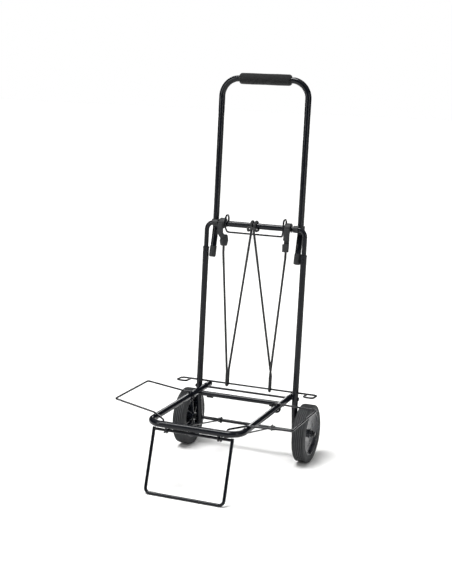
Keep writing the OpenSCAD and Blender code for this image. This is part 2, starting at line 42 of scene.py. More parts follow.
import bmesh
import bpy
from bpy.props import FloatProperty, FloatVectorProperty, IntProperty, PointerProperty
from mathutils import Matrix, Vector

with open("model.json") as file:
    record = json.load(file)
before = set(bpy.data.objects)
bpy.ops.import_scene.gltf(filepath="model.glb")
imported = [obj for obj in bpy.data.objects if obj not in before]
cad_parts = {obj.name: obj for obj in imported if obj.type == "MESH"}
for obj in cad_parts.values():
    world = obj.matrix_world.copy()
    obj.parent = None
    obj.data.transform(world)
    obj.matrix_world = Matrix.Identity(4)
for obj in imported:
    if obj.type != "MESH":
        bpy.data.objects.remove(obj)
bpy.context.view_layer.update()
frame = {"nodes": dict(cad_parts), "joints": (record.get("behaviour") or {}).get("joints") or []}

MM = 0.001
NODES = frame["nodes"]
JOINTS = {joint["name"]: joint for joint in frame["joints"]}

# The frame leans back: ALONG runs up its tubes and BEHIND is square to its plane.
ACROSS = Vector((1, 0, 0))
ALONG = -Vector(JOINTS["handle_slide"]["axis"]).normalized()
BEHIND = ALONG.cross(ACROSS)
CROSSBAR = Vector(JOINTS["bail_swing"]["pos_m"])
PIVOT = Vector(JOINTS["base_fold"]["pos_m"])
AXLE = Vector((0, *JOINTS["wheel_left_spin"]["pos_m"][1:]))
BAR_R = 8 * MM

METAL = (
    "lower_tube_left lower_tube_right yoke crossbar_sleeve axle stay_collars base_pivot_rod "
    "rear_rail handle_tube base_tube base_rear_bar foot_staples foot_rod foot_pin_rod "
    "stay_left stay_right yoke_rivets axle_caps"
).split()
PLASTIC = (
    "leg_guide_left leg_guide_right axle_spacers tube_end_plugs handle_cap_left "
    "handle_cap_right base_plugs"
).split()


def linear(code):
    """An sRGB hex value as linear red, green and blue."""
    channels = [int(code[i:i + 2], 16) / 255 for i in (0, 2, 4)]
    return [c / 12.92 if c <= 0.04045 else ((c + 0.055) / 1.055) ** 2.4 for c in channels]


def colour(name, code, description):
    """A colour setting with its default."""
    return FloatVectorProperty(
        name=name, description=description, subtype="COLOR", size=3, min=0, max=1,
        default=linear(code),
    )


def length(name, millimetres, description):
    """A length setting with its default."""
    return FloatProperty(
        name=name, description=description, unit="LENGTH", min=0, default=millimetres * MM
    )


class TrolleyColours(bpy.types.PropertyGroup):
    """Colours that a user would change."""

    paint: colour("Paint", "080b11", "Powder coat on the tubes, rods and wires")
    plastic: colour("Plastic", "191b1d", "Moulded caps, clips and hooks")
    foam: colour("Foam", "0c0d0e", "Foam of the grip")
    tyre: colour("Tyre", "292b2d", "Rubber of the tyres")
    hub: colour("Hub", "10151e", "Moulded wheel hubs")
    cord: colour("Cord", "0d0e10", "Braid of the elastic cord")
    fleck: colour("Cord fleck", "2c2e33", "Lighter yarns in the cord's braid")
    floor: colour("Floor", "f4f4f3", "Studio floor")


class TrolleySizes(bpy.types.PropertyGroup):
    """Sizes that a user would change."""

    cord_d: length("Cord diameter", 6, "Diameter of the elastic cord")
    grip_edge: length("Grip edge", 6, "Rounding of the foam grip's ends")
    groove_w: length("Groove width", 2.4, "Width of each groove in the tread")
    groove_depth: length("Groove depth", 3.0, "Depth of each groove in the tread")
    grooves: IntProperty(name="Grooves", description="Ribs in the tread", min=1, default=5)
    ribs: IntProperty(name="Hub ribs", description="Ribs inside each hub", min=3, default=8)
    hook_w: length("Hook width", 15, "Width of the cord hooks")
    hook_t: length("Hook thickness", 7.5, "Thickness of the cord hooks")
    weld: length("Weld bead", 3.2, "Width of the weld beads")


# ---------- materials ----------


def add(mat, kind, sockets=None, **settings):
    """Adds a node. A socket takes a constant or another node's output."""
    new = mat.node_tree.nodes.new(kind)
    for name, value in settings.items():
        setattr(new, name, value)
    for name, value in (sockets or {}).items():
        if isinstance(value, bpy.types.NodeSocket):
            mat.node_tree.links.new(value, new.inputs[name])
        else:
            new.inputs[name].default_value = value
    return new


def blank(name):
    """A material with a principled shader, and the Object coordinates that its patterns use."""
    mat = bpy.data.materials.new(name)
    mat.use_nodes = True
    mat.node_tree.nodes.clear()
    shader = add(mat, "ShaderNodeBsdfPrincipled")
    add(mat, "ShaderNodeOutputMaterial", {"Surface": shader.outputs["BSDF"]})
    where = add(mat, "ShaderNodeTexCoord")
    return mat, shader, where.outputs["Object"]


def noise(mat, where, size_mm, detail=2.0):
    """Noise whose blotches are about size_mm across."""
    scale = 1 / (size_mm * MM)
    return add(
        mat, "ShaderNodeTexNoise", {"Vector": where, "Scale": scale, "Detail": detail}
    ).outputs["Fac"]


def between(mat, value, low, high):
    """A value from 0.3 to 0.7, as noise gives, stretched to run from low to high."""
    return add(
        mat, "ShaderNodeMapRange",
        {"Value": value, "From Min": 0.3, "From Max": 0.7, "To Min": low, "To Max": high},
    ).outputs["Result"]


def blend(mat, share, first, second):
    """The mix of two colours."""
    return add(
        mat, "ShaderNodeMix", {0: share, 6: (*first, 1), 7: (*second, 1)}, data_type="RGBA"
    ).outputs[2]


def relief(mat, shader, height, depth_mm, strength=1.0, onto=None):
    """Bumps the surface by a height whose full range is depth_mm."""
    sockets = {"Height": height, "Distance": depth_mm * MM, "Strength": strength}
    if onto is not None:
        sockets["Normal"] = onto
    bump = add(mat, "ShaderNodeBump", sockets).outputs["Normal"]
    mat.node_tree.links.new(bump, shader.inputs["Normal"])
    return bump


def feed(mat, shader, **sockets):
    """Sets the shader's sockets, whose names are given with underscores."""
    for name, value in sockets.items():
        socket = shader.inputs[name.replace("_", " ")]
        if isinstance(value, bpy.types.NodeSocket):
            mat.node_tree.links.new(value, socket)
        else:
            socket.default_value = value


def lighter(base, share):
    """A colour moved towards pale grey."""
    return [c + (0.5 - c) * share for c in base]


# Polyester powder coat on steel, sprayed and baked: a deep gloss with a soft orange-peel
# ripple of about 2 mm, fine rubbing marks and a trace of dust.
def powder_coat(base):
    mat, shader, where = blank("powder_coated_steel")
    dust = between(mat, noise(mat, where, 35, 4), 0, 0.006)
    tint = blend(mat, dust, base, (0.42, 0.43, 0.45))
    rub = between(mat, noise(mat, where, 9, 6), 0.13, 0.24)
    feed(
        mat, shader, Base_Color=tint, Roughness=rub, Specular_IOR_Level=0.2,
        Coat_Weight=0.12, Coat_Roughness=0.06, Coat_IOR=1.4,
    )
    relief(mat, shader, noise(mat, where, 2.2, 1), 0.04, 0.3)
    return mat


# Polypropylene, injection moulded in a spark-eroded tool: an even, fine leathery grain.
def moulded_plastic(base):
    mat, shader, where = blank("moulded_polypropylene")
    scuff = between(mat, noise(mat, where, 6, 5), 0, 0.10)
    feed(
        mat, shader, Base_Color=blend(mat, scuff, base, lighter(base, 0.15)),
        Roughness=between(mat, noise(mat, where, 4, 3), 0.46, 0.62), Specular_IOR_Level=0.35,
    )
    grain = add(
        mat, "ShaderNodeTexVoronoi", {"Vector": where, "Scale": 1 / (0.9 * MM)}
    ).outputs["Distance"]
    relief(mat, shader, grain, 0.08, 0.5)
    return mat


# Closed-cell nitrile foam, extruded and ground: matte, with pores drawn at 1.4 mm, which is
# coarser than real ones so that they show.
def cell_foam(base):
    mat, shader, where = blank("closed_cell_foam")
    cells = add(
        mat, "ShaderNodeTexVoronoi", {"Vector": where, "Scale": 1 / (1.4 * MM)}
    ).outputs["Distance"]
    shade = between(mat, noise(mat, where, 8, 5), 0, 0.22)
    feed(
        mat, shader, Base_Color=blend(mat, shade, base, lighter(base, 0.06)),
        Roughness=0.93, Specular_IOR_Level=0.25, Sheen_Weight=0.08, Sheen_Roughness=0.6,
    )
    rough = relief(mat, shader, noise(mat, where, 5, 6), 0.5, 0.35)
    relief(mat, shader, cells, 0.35, 0.55, rough)
    return mat


# Carbon-black rubber, compression moulded: grey and matte, dustier in blotches, with a faint
# grain from the mould.
def tyre_rubber(base):
    mat, shader, where = blank("moulded_tyre_rubber")
    dust = between(mat, noise(mat, where, 18, 6), 0, 0.05)
    feed(
        mat, shader, Base_Color=blend(mat, dust, base, lighter(base, 0.3)),
        Roughness=between(mat, noise(mat, where, 7, 4), 0.62, 0.80), IOR=1.5,
    )
    relief(mat, shader, noise(mat, where, 0.9, 3), 0.10, 0.5)
    return mat


# ABS, injection moulded in a polished tool: semi-gloss with a slight ripple where the melt
# flowed from the centre.
def polished_abs(base):
    mat, shader, where = blank("polished_abs")
    flow = between(mat, noise(mat, where, 30, 2), 0, 0.06)
    feed(
        mat, shader, Base_Color=blend(mat, flow, base, lighter(base, 0.4)),
        Roughness=between(mat, noise(mat, where, 12, 4), 0.20, 0.34), IOR=1.54,
        Coat_Weight=0.2, Coat_Roughness=0.1,
    )
    relief(mat, shader, noise(mat, where, 16, 1), 0.03, 0.2)
    return mat


# Mild steel tube, turned: grey metal with fine rings round its axis.
def turned_steel(base):
    mat, shader, where = blank("turned_steel")
    rings = add(
        mat, "ShaderNodeTexWave", {"Vector": where, "Scale": 1 / (3.0 * MM), "Distortion": 0.6},
        bands_direction="X",
    ).outputs["Fac"]
    feed(
        mat, shader, Base_Color=blend(mat, rings, base, lighter(base, 0.2)),
        Metallic=1.0, Roughness=between(mat, noise(mat, where, 3, 3), 0.28, 0.42),
    )
    relief(mat, shader, rings, 0.03, 0.4)
    return mat


# Polyester braid over a rubber core: yarns 1.2 mm wide cross in two directions along the
# cord's own length, with a lighter yarn here and there.
def braided_cover(base, fleck, diameter):
    mat, shader, _ = blank("braided_polyester")
    uv = add(mat, "ShaderNodeTexCoord").outputs["UV"]
    place = add(mat, "ShaderNodeSeparateXYZ", {"Vector": uv})
    pitch = math.pi * diameter
    yarns = 8
    hands = []
    for hand in (1, -1):
        turns = add(
            mat, "ShaderNodeMath", {0: place.outputs["X"], 1: hand / pitch},
            operation="MULTIPLY",
        ).outputs[0]
        phase = add(
            mat, "ShaderNodeMath", {0: turns, 1: place.outputs["Y"]}, operation="ADD"
        ).outputs[0]
        angle = add(
            mat, "ShaderNodeMath", {0: phase, 1: yarns * math.tau}, operation="MULTIPLY"
        ).outputs[0]
        hands.append(add(mat, "ShaderNodeMath", {0: angle}, operation="SINE").outputs[0])
    weave = add(
        mat, "ShaderNodeMath", {0: hands[0], 1: hands[1]}, operation="MAXIMUM"
    ).outputs[0]
    both = add(
        mat, "ShaderNodeMath", {0: hands[0], 1: hands[1]}, operation="MULTIPLY"
    ).outputs[0]
    light = add(
        mat, "ShaderNodeMapRange",
        {"Value": both, "From Min": 0.2, "From Max": 0.9, "To Min": 0.0, "To Max": 0.8},
    ).outputs["Result"]
    feed(
        mat, shader, Base_Color=blend(mat, light, base, fleck), Roughness=0.72, IOR=1.5,
        Sheen_Weight=0.15,
    )
    relief(mat, shader, weave, 0.5, 0.6)
    return mat


# Painted studio floor, rolled: pale and matte with a barely seen mottle.
def studio_floor(base):
    mat, shader, where = blank("painted_studio_floor")
    mottle = between(mat, noise(mat, where, 90, 3), 0, 0.02)
    feed(
        mat, shader, Base_Color=blend(mat, mottle, base, lighter(base, 1)), Roughness=0.9,
        IOR=1.4,
    )
    relief(mat, shader, noise(mat, where, 4, 2), 0.05, 0.2)
    return mat


# ---------- geometry ----------


def on_frame(x, n, s):
    """A point from the crossbar's centre, in millimetres across, behind and along the frame."""
    return CROSSBAR + (ACROSS * x + BEHIND * n + ALONG * s) * MM


def rounded(points, radii, step=math.radians(12)):
    """The path through points, with each inner corner rounded to its radius by an arc."""
    path = [points[0].copy()]
    for before, corner, after, radius in zip(points, points[1:], points[2:], radii[1:]):
        ahead = (corner - before).normalized()
        away = (after - corner).normalized()
        swing = ahead.angle(away)
        if radius == 0 or swing < math.radians(0.1):
            path.append(corner.copy())
            continue
        centre = corner + (away - ahead).normalized() * radius / math.cos(swing / 2)
        start = corner - ahead * radius * math.tan(swing / 2) - centre
        turns = max(2, math.ceil(swing / step))
        for k in range(turns + 1):
            turn = Matrix.Rotation(swing * k / turns, 3, ahead.cross(away))
            path.append(centre + turn @ start)
    path.append(points[-1].copy())
    return path


def spaced(path, gap):
    """The path with points added so that none are more than gap apart."""
    full = [path[0]]
    for start, end in zip(path, path[1:]):
        count = max(1, math.ceil((end - start).length / gap))
        full += [start.lerp(end, k / count) for k in range(1, count + 1)]
    return full


def section(at, ahead, side):
    """The matrix of a rod's cross-section: its Z runs ahead and its X to the side."""
    turn = Matrix((side, ahead.cross(side), ahead)).transposed().to_4x4()
    return Matrix.Translation(at) @ turn


def sweep(mesh, path, radius, sides):
    """A round rod along a path, one circle extruded from point to point. In its UV map, u is
    the distance along it in metres and v goes once round."""
    around = mesh.verts.layers.int.new("around")
    along = mesh.verts.layers.float.new("along")
    uv = mesh.loops.layers.uv.new("UVMap")
    headings = [
        (path[min(i + 1, len(path) - 1)] - path[max(i - 1, 0)]).normalized()
        for i in range(len(path))
    ]
    side = headings[0].orthogonal().normalized()
    place = section(path[0], headings[0], side)
    ring = bmesh.ops.create_circle(mesh, segments=sides, radius=radius, matrix=place)["verts"]
    for k, vert in enumerate(ring):
        vert[around] = k
    edges = list({edge for vert in ring for edge in vert.link_edges})
    distance = 0.0
    for i in range(1, len(path)):
        distance += (path[i] - path[i - 1]).length
        side = (side - headings[i] * side.dot(headings[i])).normalized()
        new_place = section(path[i], headings[i], side)
        made = bmesh.ops.extrude_edge_only(mesh, edges=edges)["geom"]
        ring = [item for item in made if isinstance(item, bmesh.types.BMVert)]
        edges = [
            item for item in made
            if isinstance(item, bmesh.types.BMEdge) and all(v in ring for v in item.verts)
        ]
        bmesh.ops.transform(mesh, matrix=new_place @ place.inverted(), verts=ring)
        for vert in ring:
            vert[along] = distance
        place = new_place
    for face in mesh.faces:
        wraps = {0, sides - 1} <= {loop.vert[around] for loop in face.loops}
        for loop in face.loops:
            turn = loop.vert[around]
            loop[uv].uv = (loop.vert[along], (sides if wraps and turn == 0 else turn) / sides)
    open_edges = [edge for edge in mesh.edges if edge.is_boundary]
    bmesh.ops.holes_fill(mesh, edges=open_edges, sides=0)


def lathe(mesh, profile, centre, axis, steps=96):
    """Spins a closed outline, as (distance along the axis, radius) in mm, about the axis."""
    out = axis.orthogonal().normalized()
    verts = [mesh.verts.new(centre + (axis * a + out * r) * MM) for a, r in profile]
    edges = [mesh.edges.new(pair) for pair in zip(verts, verts[1:] + verts[:1])]
    bmesh.ops.spin(
        mesh, geom=verts + edges, cent=centre, axis=axis, angle=math.tau, steps=steps,
        use_merge=True,
    )


def outline(corners):
    """Outline points from corners given as (along, radius, rounding)."""
    points = [Vector((a, r, 0)) for a, r, _ in corners]
    path = rounded(points, [c[2] for c in corners], math.radians(20))
    return [(p.x, p.y) for p in path]


def prism(mesh, corners, thickness, place, bevel=0.0):
    """A flat outline in mm, given thickness along its normal, placed and with bevelled edges."""
    face = mesh.faces.new([mesh.verts.new(Vector((x, y, 0)) * MM) for x, y in corners])
    made = bmesh.ops.extrude_face_region(mesh, geom=[face])["geom"]
    top = [item for item in made if isinstance(item, bmesh.types.BMVert)]
    bmesh.ops.translate(mesh, verts=top, vec=Vector((0, 0, thickness * MM)))
    own = list({v for item in made + [face] if hasattr(item, "verts") for v in item.verts})
    edges = list({edge for vert in own for edge in vert.link_edges})
    bmesh.ops.recalc_face_normals(mesh, faces=list({f for v in own for f in v.link_faces}))
    if bevel:
        sharp = [edge for edge in edges if edge.calc_face_angle(0) > math.radians(25)]
        cut = bmesh.ops.bevel(
            mesh, geom=sharp, offset=bevel * MM, offset_type="OFFSET", segments=3,
            profile=0.5, affect="EDGES", clamp_overlap=True, material=-1,
        )
        own = list({v for v in own if v.is_valid} | set(cut["verts"]))
    bmesh.ops.transform(mesh, matrix=place, verts=own)


def finished(name, mesh, material, body, replaced=(), crease=35):
    """Turns a bmesh into an object that rides on a body, with edges past crease left sharp."""
    bmesh.ops.remove_doubles(mesh, verts=mesh.verts, dist=0.002 * MM)
    bmesh.ops.recalc_face_normals(mesh, faces=mesh.faces)
    for face in mesh.faces:
        face.smooth = True
    for edge in mesh.edges:
        edge.smooth = edge.calc_face_angle(0) < math.radians(crease)
    data = bpy.data.meshes.new(name)
    mesh.to_mesh(data)
    mesh.free()
    data.materials.append(material)
    piece = bpy.data.objects.new(name, data)
    bpy.context.scene.collection.objects.link(piece)
    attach(piece, body)
    if replaced:
        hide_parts(*replaced)
    return piece


def coat(names, material):
    """Gives kept nodes a material."""
    for name in names:
        slots = NODES[name].data.materials
        for i in range(len(slots)):
            slots[i] = material
        if not slots:
            slots.append(material)


def shared(name, kind, base):
    """The material of that name, made by kind from a base colour the first time."""
    return bpy.data.materials.get(name) or kind(base)


def paint(colours):
    return shared("powder_coated_steel", powder_coat, colours.paint)


def plastic(colours):
    return shared("moulded_polypropylene", moulded_plastic, colours.plastic)


# ---------- pieces ----------


class TROLLEY_OT_metalwork(bpy.types.Operator):
    """Coats the tubes, rods and fastenings that keep their modelled shape"""

    bl_idname = "trolley.metalwork"
    bl_label = "Metalwork"

    def execute(self, context):
        colours = context.scene.trolley_colours
        coat(METAL, paint(colours))
        coat(["bush_left", "bush_right"], turned_steel(linear("8f9196")))
        return {"FINISHED"}


class TROLLEY_OT_plastic_fittings(bpy.types.Operator):
    """Gives the moulded clips, caps and plugs their grain"""

    bl_idname = "trolley.plastic_fittings"
    bl_label = "Plastic fittings"

    def execute(self, context):
        colours = context.scene.trolley_colours
        coat(PLASTIC, plastic(colours))
        return {"FINISHED"}


class TROLLEY_OT_foam_grip(bpy.types.Operator):
    """Builds the foam sleeve on the handle's top bar"""

    bl_idname = "trolley.foam_grip"
    bl_label = "Foam grip"

    def execute(self, context):
        sizes = context.scene.trolley_sizes
        colours = context.scene.trolley_colours
        low, high = (Vector(c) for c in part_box("foam_grip"))
        half = (high.x - low.x) / 2 / MM
        outer = (high.z - low.z) / 2 / MM
        edge = sizes.grip_edge / MM
        bore = BAR_R / MM
        # The sleeve is a little fuller at the middle of each half, and pinched at its ends.
        corners = [
            (-half + 1.5, bore, 0), (-half, bore + 1.5, 0.8), (-half, outer - 0.4, edge),
            (-half / 2, outer - 0.1, 60), (0, outer - 0.5, 60), (half / 2, outer - 0.1, 60),
            (half, outer - 0.4, edge), (half, bore + 1.5, 0.8), (half - 1.5, bore, 0),
        ]
        mesh = bmesh.new()
        lathe(mesh, outline(corners), (low + high) / 2, ACROSS, 64)
        grip = finished(
            "foam_sleeve", mesh, cell_foam(colours.foam), "handle", ["foam_grip"]
        )
        return {"FINISHED"}


def wheel_place(side):
    """The centre of a wheel's inner face and the direction out of the trolley."""
    low, high = (Vector(c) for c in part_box(f"tyre_{side}"))
    out = ACROSS if side == "right" else -ACROSS
    inner = low.x if side == "right" else high.x
    return Vector((inner, AXLE.y, AXLE.z)), out, (high.x - low.x) / MM, (high.z - low.z) / 2 / MM


# The hub's outer radius and its bore's, in millimetres.
HUB_R = 56
BORE_R = 5.5


class TROLLEY_OT_tyres(bpy.types.Operator):
    """Builds the ribbed rubber tyres"""

    bl_idname = "trolley.tyres"
    bl_label = "Tyres"

    def execute(self, context):
        sizes = context.scene.trolley_sizes
        colours = context.scene.trolley_colours
        rubber = tyre_rubber(colours.tyre)
        for side in ("left", "right"):
            centre, out, width, radius = wheel_place(side)
            groove_w = sizes.groove_w / MM
            floor_r = radius - sizes.groove_depth / MM
            shoulder = 4.2
            pitch = (width - 2 * shoulder) / sizes.grooves
            corners = [(1.2, HUB_R, 0), (0.3, HUB_R + 1.2, 0.6), (0, HUB_R + 4.6, 0.7)]
            corners += [(0.9, HUB_R + 6, 0.7), (0.5, radius - 6, 3), (2.4, radius - 0.9, 2.2)]
            for i in range(sizes.grooves + 1):
                at = shoulder + i * pitch
                corners += [
                    (at - groove_w / 2, radius - 0.15, 0.35), (at - groove_w / 3, floor_r, 0.3),
                    (at + groove_w / 3, floor_r, 0.3), (at + groove_w / 2, radius - 0.15, 0.35),
                ]
            corners += [
                (width - 2.4, radius - 0.9, 2.2), (width - 0.5, radius - 6, 3),
                (width - 0.9, HUB_R + 6, 0.7), (width, HUB_R + 4.6, 0.7),
                (width - 0.3, HUB_R + 1.2, 0.6), (width - 1.2, HUB_R, 0),
            ]
            mesh = bmesh.new()
            lathe(mesh, outline(corners), centre, out, 128)
            finished(
                f"ribbed_tyre_{side}", mesh, rubber, f"wheel_{side}", [f"tyre_{side}"]
            )
        return {"FINISHED"}


class TROLLEY_OT_hubs(bpy.types.Operator):
    """Builds the moulded hubs: a dished outer face, a stepped boss and ribs behind it"""

    bl_idname = "trolley.hubs"
    bl_label = "Hubs"

    def execute(self, context):
        sizes = context.scene.trolley_sizes
        colours = context.scene.trolley_colours
        shell = polished_abs(colours.hub)
        rib_t = 2.0
        for side in ("left", "right"):
            centre, out, width, _ = wheel_place(side)
            corners = [
                (1.5, HUB_R - 0.05, 0), (width - 1.5, HUB_R - 0.05, 0.6),
                (width - 1.5, HUB_R - 3.2, 1.0), (width - 4.5, HUB_R - 4.4, 2.0),
                (width - 11.5, HUB_R - 15, 16), (width - 10.5, 15, 3), (width - 10, 11.2, 0.8),
                (width - 5, 10.6, 0.8), (width - 5, 8.6, 0.5), (width - 0.2, 8.0, 0.8),
                (width - 0.2, BORE_R, 0), (0.2, BORE_R, 0), (0.2, 11.6, 0.8),
                (width - 14, 12.4, 2), (width - 15.5, HUB_R - 16, 14),
                (width - 8.5, HUB_R - 6, 2), (1.5, HUB_R - 3.6, 0.6), (1.5, HUB_R - 0.05, 0),
            ]
            mesh = bmesh.new()
            lathe(mesh, outline(corners)[:-1], centre, out, 128)
            for i in range(sizes.ribs):
                turn = math.tau * i / sizes.ribs + math.radians(11)
                away = Matrix.Rotation(turn, 3, ACROSS) @ Vector((0, 0, 1))
                rib = [(11, 2), (HUB_R - 3.4, 2.5), (HUB_R - 3.4, 19), (HUB_R - 16, 16), (11, 17)]
                place = section(centre, away.cross(out), away)
                flat = [(r, -h if place.col[1].xyz.dot(out) < 0 else h) for r, h in rib]
                shift = Matrix.Translation(-away.cross(out) * rib_t / 2 * MM)
                prism(mesh, flat, rib_t, shift @ place, 0.4)
            finished(
                f"dished_hub_{side}", mesh, shell, f"wheel_{side}",
                [f"hub_{side}"],
            )
        return {"FINISHED"}


class TROLLEY_OT_axle_caps(bpy.types.Operator):
    """Builds the push-on caps at the ends of the axle"""

    bl_idname = "trolley.axle_caps"
    bl_label = "Axle caps"

    def execute(self, context):
        colours = context.scene.trolley_colours
        low, high = (Vector(c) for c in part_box("axle_caps"))
        mesh = bmesh.new()
        for side in ("left", "right"):
            inner, out, width, _ = wheel_place(side)
            face = inner + out * (width + 0.3) * MM
            reach = abs((high.x if side == "right" else low.x) - face.x) / MM
            corners = [
                (0, 4.5, 0), (0, 8.5, 0), (1.4, 8.5, 0.5), (2.0, 6.8, 0.6), (reach - 2.2, 6.5, 0.8),
                (reach, 4.0, 1.2), (reach, 0.01, 0), (reach - 1.8, 0.01, 0), (reach - 1.8, 4.5, 0),
            ]
            lathe(mesh, outline(corners), face, out, 48)
        finished(
            "domed_axle_caps", mesh, paint(colours), "frame", ["axle_caps"]
        )
        return {"FINISHED"}


# A hook's clearance over the bar, in millimetres.
HOOK_GAP = 0.3


def hook_arch(mesh, width, place, bar):
    """The part of a hook that goes over the bar, as an outline of arcs."""
    wall = 6
    inner = bar + HOOK_GAP
    outer = inner + wall
    steps = 14
    back = [(inner * math.cos(a), inner * math.sin(a)) for a in arc_angles(steps)]
    over = [(outer * math.cos(a), outer * math.sin(a)) for a in arc_angles(steps)]
    corners = [(inner, -9), (outer - 1.5, -10.5)] + over + [(-outer, -12), (-inner, -12)]
    prism(mesh, corners + back[::-1], width, place, 1.2)


def arc_angles(steps):
    """Angles from the back of the bar, over the top, to its front."""
    return [math.pi * k / steps for k in range(steps + 1)]


class TROLLEY_OT_cord_hooks(bpy.types.Operator):
    """Builds the hooks at the ends of the elastic cord"""

    bl_idname = "trolley.cord_hooks"
    bl_label = "Cord hooks"

    def execute(self, context):
        sizes = context.scene.trolley_sizes
        colours = context.scene.trolley_colours
        moulded = plastic(colours)
        width = sizes.hook_w / MM
        thick = sizes.hook_t / MM
        bar = BAR_R / MM
        twist = math.radians(62)
        for side in ("left", "right"):
            low, high = (Vector(c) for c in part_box(f"cord_hook_{side}"))
            middle = (low.x + high.x) / 2 / MM
            mesh = bmesh.new()
            arch = section(on_frame(middle - width / 2, 0, 0), ACROSS, BEHIND)
            hook_arch(mesh, width, arch, bar)
            # The straps, and the right hook's neck and block, get their thickness to the front
            # of this. They stand further forward than the modelled hooks, and the straps don't
            # reach the arch's front face.
            front = bar + HOOK_GAP + thick
            half = width / 2
            if side == "right":
                # The strap, a thinner neck where the cord's knot sits, and the block below.
                x = middle + 2.2
                back = Matrix.Translation(on_frame(x, -front, 0)) @ FACING
                prism(mesh, [(-half, 1), (half, 1), (half, -29), (-half, -29)], thick, back, 1.0)
                neck = Matrix.Translation(on_frame(x, -front + 1.8, 0)) @ FACING
                shape = [(1 - half, -28), (half - 1, -28), (half - 1, -40), (1 - half, -40)]
                prism(mesh, shape, thick - 3.6, neck, 0.4)
                block = Matrix.Translation(on_frame(x, -front - 1, 0)) @ FACING
                shape = [(-half - 0.6, -38), (half + 0.6, -38), (half, -58), (-half, -58)]
                prism(mesh, shape, thick + 2, block, 1.4)
            else:
                # This hook has turned on its cord: its strap twists over to the block below.
                strap = [
                    (-half, 1), (half, 1), (half, -22), (half + 7, -33), (3, -38),
                    (-half + 1, -24),
                ]
                place = Matrix.Translation(on_frame(middle, -front, 0)) @ FACING
                prism(mesh, strap, thick, place, 1.4)
                turn = Matrix.Rotation(twist, 4, ALONG)
                centre = on_frame(middle + 9, -bar - 4, 0)
                bulb_t = 12
                shift = Matrix.Translation(Vector((0, 0, -bulb_t / 2)) * MM)
                bulb = [
                    (-6, -28), (7, -27), (10, -36), (11, -44), (7, -57), (-7, -57), (-11, -44),
                ]
                place = Matrix.Translation(centre) @ turn @ FACING @ shift
                prism(mesh, bulb, bulb_t, place, 2.2)
            finished(
                f"moulded_hook_{side}", mesh, moulded, "frame",
                [f"cord_hook_{side}"],
            )
        return {"FINISHED"}


# Turns a flat outline so that its X goes across, its Y up the frame and its thickness to the
# front.
FACING = Matrix((ACROSS, ALONG, ACROSS.cross(ALONG))).transposed().to_4x4()


def cord_route():
    """The elastic cord's points and bend radii, from the left hook to the right one."""
    hook_n = -12.05
    rail_n, rail_s, wrap = 10.5, -423, 5.7
    over, front, middle = 11.2, 17.7, -3.2

    def hook(x):
        return [(x, hook_n, -56), (x, hook_n, -74)]

    def turn(side):
        return [
            (side * 60.5, rail_n - wrap, rail_s + 6 * wrap),
            (side * 60.5, rail_n - wrap, rail_s - wrap),
            (side * 59.5, rail_n + wrap, rail_s - wrap),
            (side * 59.5, rail_n + wrap, rail_s + 6 * wrap),
        ]

    def hitch(side):
        return [
            (middle + side * 3.4, -over, -14), (middle + side * 5.5, -over, over),
            (middle + side * 5.5, over, over), (middle + side * 8.5, over, -over),
            (middle + side * 11.3, -front, -over - 1),
            (middle + side * 10.3, -front, -5 - side * 3),
        ]

    points = hook(-80.5) + turn(-1) + hitch(-1)
    points += hitch(1)[::-1] + turn(1)[::-1] + hook(89.5)[::-1]
    half = [0, 20, 3, 5, 5, 3, 10, 10, 10, 8, 5, 3.5]
    return [on_frame(*p) for p in points], [r * MM for r in half + half[::-1]]


class TROLLEY_OT_elastic_cord(bpy.types.Operator):
    """Builds the braided elastic cord with its cow hitch on the crossbar"""

    bl_idname = "trolley.elastic_cord"
    bl_label = "Elastic cord"

    def execute(self, context):
        sizes = context.scene.trolley_sizes
        colours = context.scene.trolley_colours
        path = spaced(rounded(*cord_route()), 6 * MM)
        mesh = bmesh.new()
        sweep(mesh, path, sizes.cord_d / 2, 20)
        cover = braided_cover(colours.cord, colours.fleck, sizes.cord_d)
        finished("braided_cord", mesh, cover, "frame", ["elastic_cord"])
        return {"FINISHED"}


class TROLLEY_OT_wires(bpy.types.Operator):
    """Rounds the wing and bail wires"""

    bl_idname = "trolley.wires"
    bl_label = "Wing and bail wires"

    def execute(self, context):
        colours = context.scene.trolley_colours
        coated = paint(colours)
        for node, body in (("wing_left",) * 2, ("wing_right",) * 2, ("bag_bail", "bail")):
            mesh = bmesh.new()
            mesh.from_mesh(NODES[node].data)
            bmesh.ops.remove_doubles(mesh, verts=mesh.verts, dist=0.01 * MM)
            bmesh.ops.join_triangles(
                mesh, faces=mesh.faces, angle_face_threshold=math.radians(20),
                angle_shape_threshold=math.radians(50),
            )
            piece = finished(
                f"round_{node}", mesh, coated, body, [node], crease=60
            )
            smooth = piece.modifiers.new("round", "SUBSURF")
            smooth.levels = smooth.render_levels = 1
        return {"FINISHED"}


